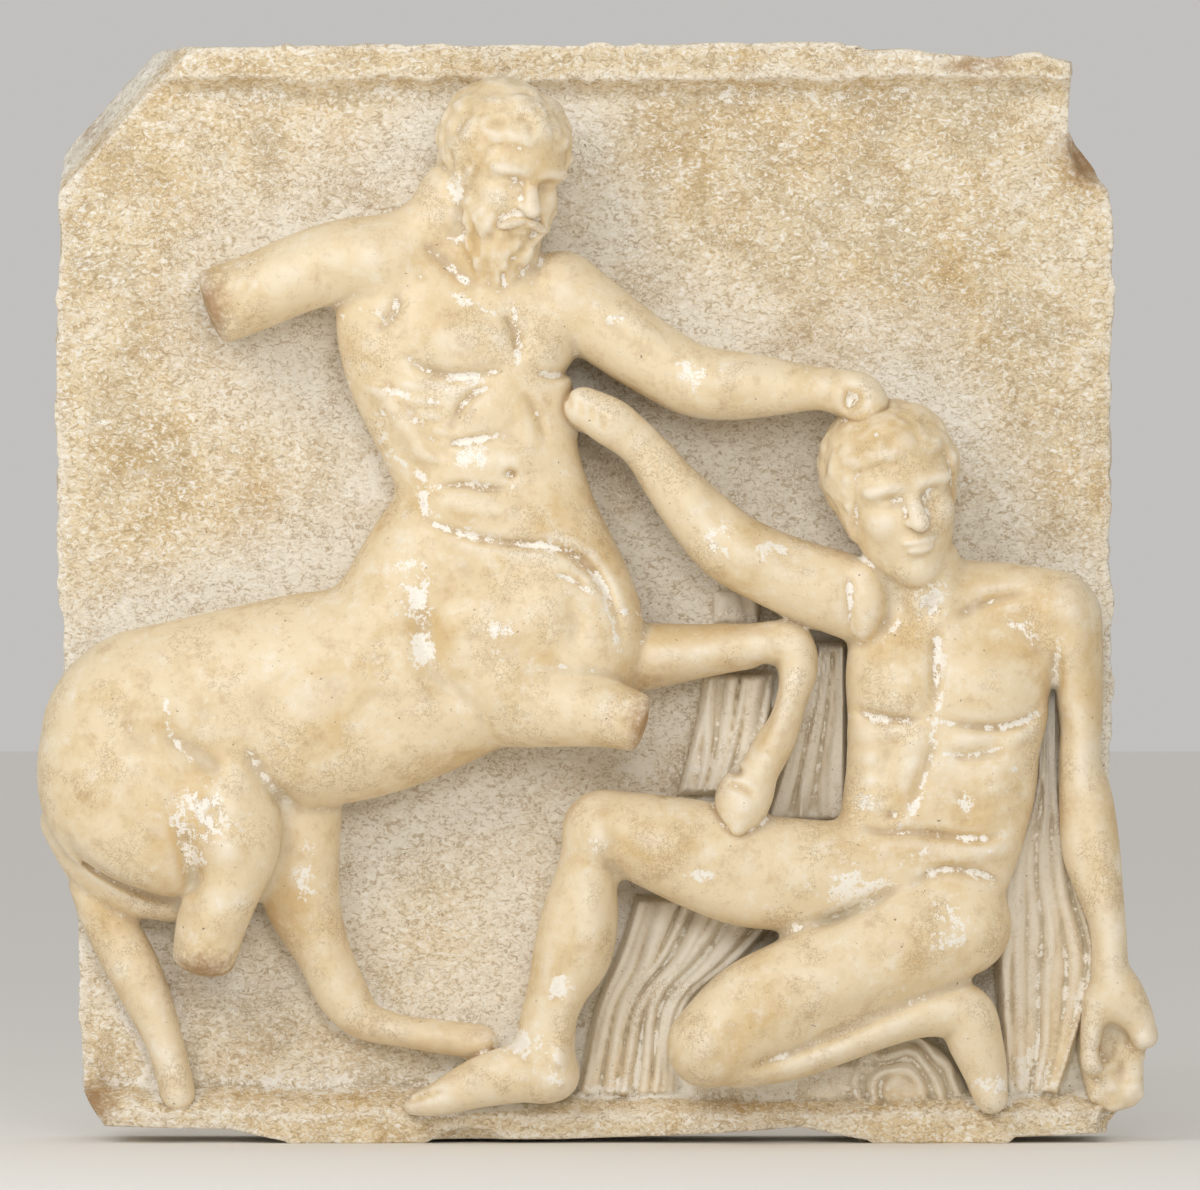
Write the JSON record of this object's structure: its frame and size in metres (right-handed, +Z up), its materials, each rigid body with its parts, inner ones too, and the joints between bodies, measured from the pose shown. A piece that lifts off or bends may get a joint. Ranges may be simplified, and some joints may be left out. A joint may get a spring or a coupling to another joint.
{
  "type": "marble metope relief",
  "caption": "Square marble frieze panel carved in high relief: a centaur with broken limbs grips the hair of a kneeling man.",
  "frame": {"origin": "centre of the bounding box, on the plane of the flat bed the block stands on", "axes": "+Z up, -Y out of the carved face towards the viewer, +X to the viewer's right"},
  "size_m": [1.3429, 0.3304, 1.3232],
  "materials": {
    "marble": "smooth, waxy weathered marble on the figures, rough stippled ground, brown stained breaks"
  },
  "bodies": {
    "root": {"metope_block": "marble"}
  },
  "joints": []
}
